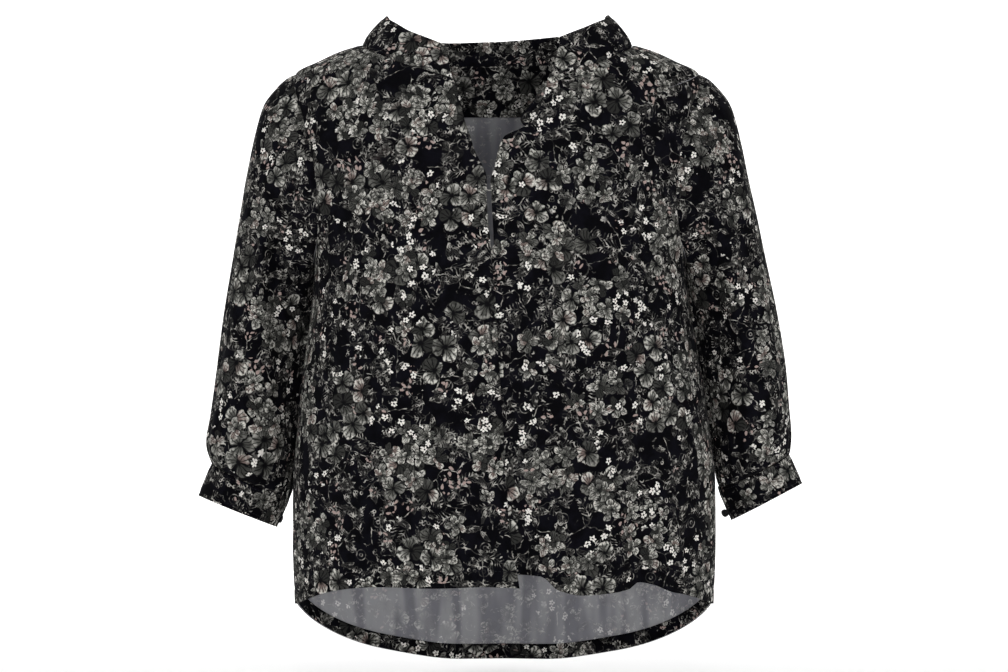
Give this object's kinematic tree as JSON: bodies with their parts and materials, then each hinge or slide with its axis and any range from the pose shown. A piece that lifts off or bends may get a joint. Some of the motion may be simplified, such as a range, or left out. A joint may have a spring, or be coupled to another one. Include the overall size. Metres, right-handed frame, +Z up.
{
  "type": "blouse",
  "caption": "Loose blouse with a stand collar, V neck over a short slit, concealed front, three-quarter sleeves gathered into buttoned cuffs and a curved hem, longer behind.",
  "frame": {"origin": "middle of the neck, level with the points where the shoulder seams meet the collar, where the wearer's shoulders hold the blouse", "axes": "+Z up towards the collar, -Y out of the front, +X towards the wearer's left sleeve"},
  "size_m": [0.6991, 0.2781, 0.7553],
  "materials": {
    "printed_viscose": "soft matte woven viscose, all-over floral print in sage, grey and off-white on near-black navy",
    "button_plastic": "satin near-black"
  },
  "bodies": {
    "root": {"front_right": "printed_viscose", "front_left": "printed_viscose", "back": "printed_viscose", "hem_right": "printed_viscose", "hem_left": "printed_viscose", "hem_back": "printed_viscose", "back_facing": "printed_viscose", "neck_facing": "printed_viscose", "collar": "printed_viscose", "sleeve_right": "printed_viscose", "sleeve_left": "printed_viscose", "cuff_right": "printed_viscose", "cuff_left": "printed_viscose", "cuff_button_right": "button_plastic", "cuff_button_left": "button_plastic"}
  },
  "joints": []
}
